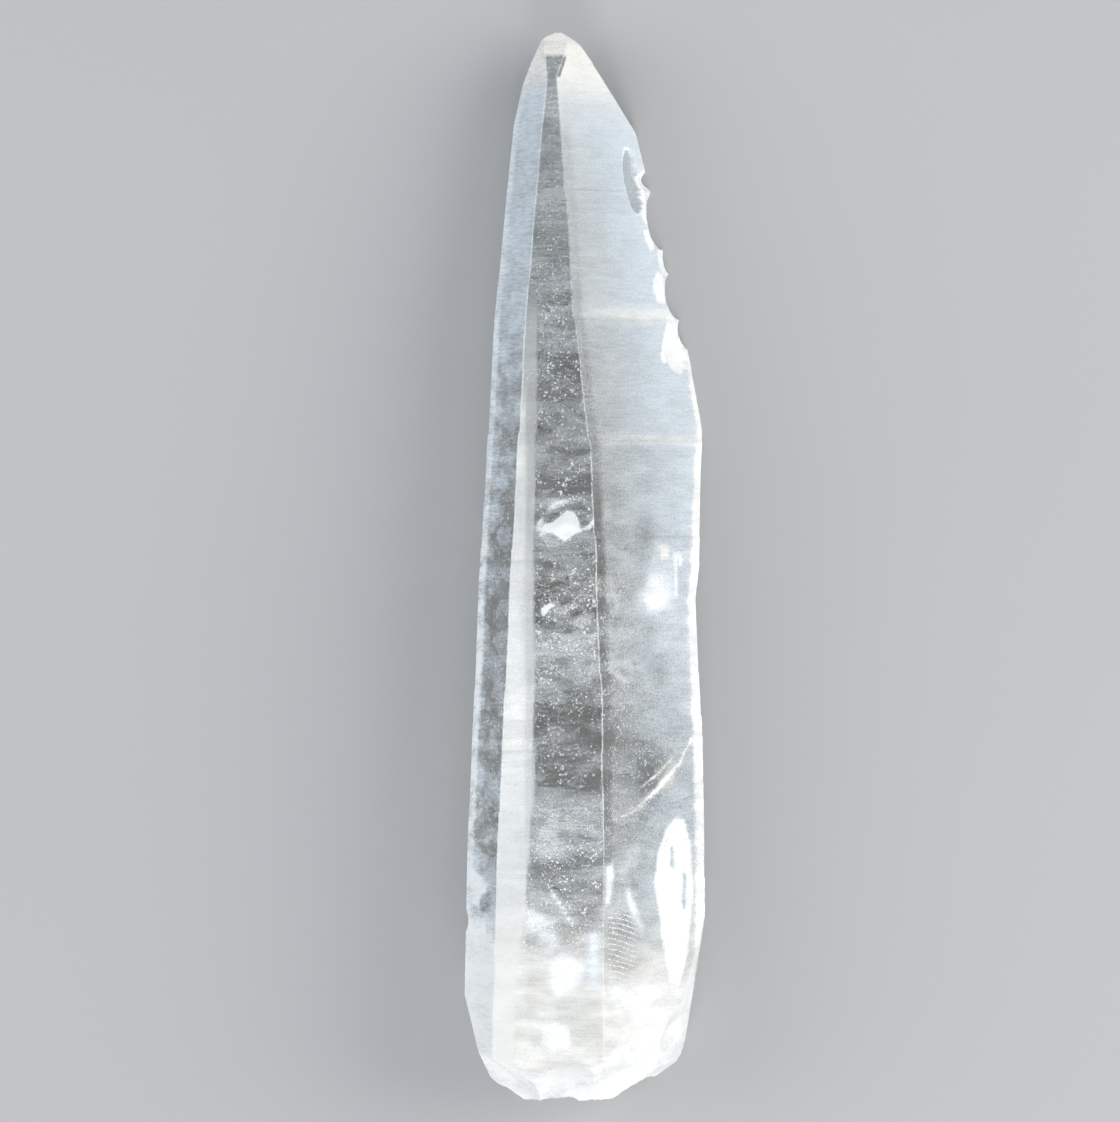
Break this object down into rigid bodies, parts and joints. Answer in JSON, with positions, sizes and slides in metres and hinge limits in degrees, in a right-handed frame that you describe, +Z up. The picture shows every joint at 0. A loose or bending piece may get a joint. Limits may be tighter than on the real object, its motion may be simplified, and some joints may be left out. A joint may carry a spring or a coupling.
{
  "type": "quartz crystal",
  "caption": "Long, tapering clear quartz crystal of lemurian habit, lying on its broad back face, with a pointed tip, a chipped long edge and a broken root.",
  "frame": {"origin": "middle of the crystal's box, on the surface that its back face rests on", "axes": "+Y along the crystal from the broken root to the tip, +Z up out of the narrow front face, +X to the right seen from above with the tip away"},
  "size_m": [0.0276, 0.125, 0.0204],
  "materials": {
    "clear_quartz": "see-through quartz with satin, finely striated faces, clear in the middle and milky with veils at the root"
  },
  "bodies": {
    "root": {"quartz_crystal": "clear_quartz"}
  },
  "joints": []
}
